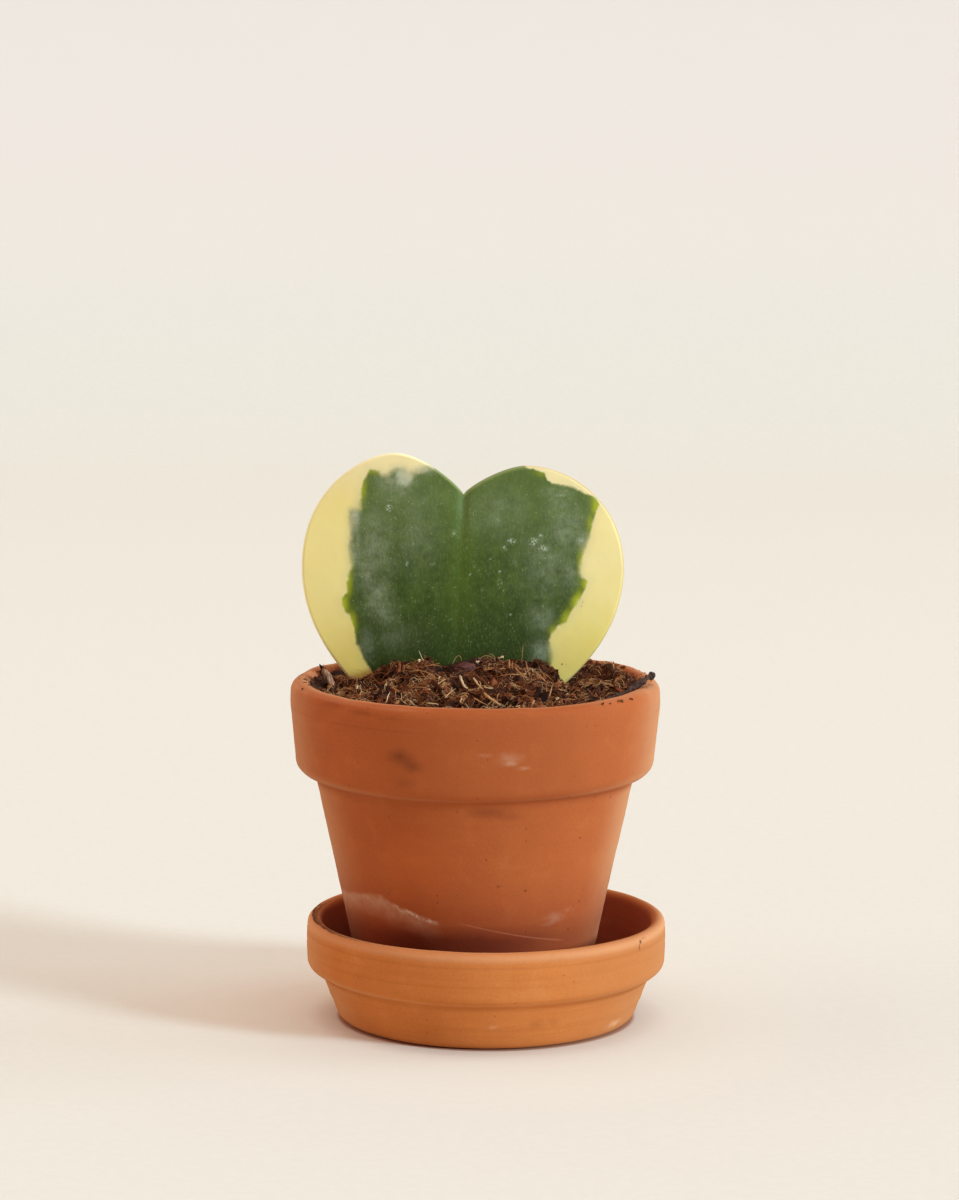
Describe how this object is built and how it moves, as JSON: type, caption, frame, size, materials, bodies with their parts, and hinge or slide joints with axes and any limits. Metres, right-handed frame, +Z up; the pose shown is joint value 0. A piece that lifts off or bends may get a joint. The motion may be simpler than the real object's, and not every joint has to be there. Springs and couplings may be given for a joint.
{
  "type": "potted hoya plant",
  "caption": "Heart-shaped variegated hoya leaf rooted in coarse soil, in a collared terracotta pot on its terracotta saucer.",
  "frame": {"origin": "centre of the saucer's flat base, on the surface that it stands on", "axes": "+Z up, -Y the side that the face of the leaf looks to, +X to that viewer's right"},
  "size_m": [0.0942, 0.0922, 0.1405],
  "materials": {
    "terracotta_saucer": "matte",
    "terracotta_pot": "matte",
    "soil": "matte",
    "leaf": "satin",
    "dark_bark": "matte",
    "pale_wood": "matte",
    "red_bark": "matte"
  },
  "bodies": {
    "root": {"saucer": "terracotta_saucer", "pot": "terracotta_pot", "soil": "soil", "leaf": "leaf", "bark_sliver": "dark_bark", "wood_chip": "pale_wood", "bark_nugget": "red_bark"}
  },
  "joints": []
}
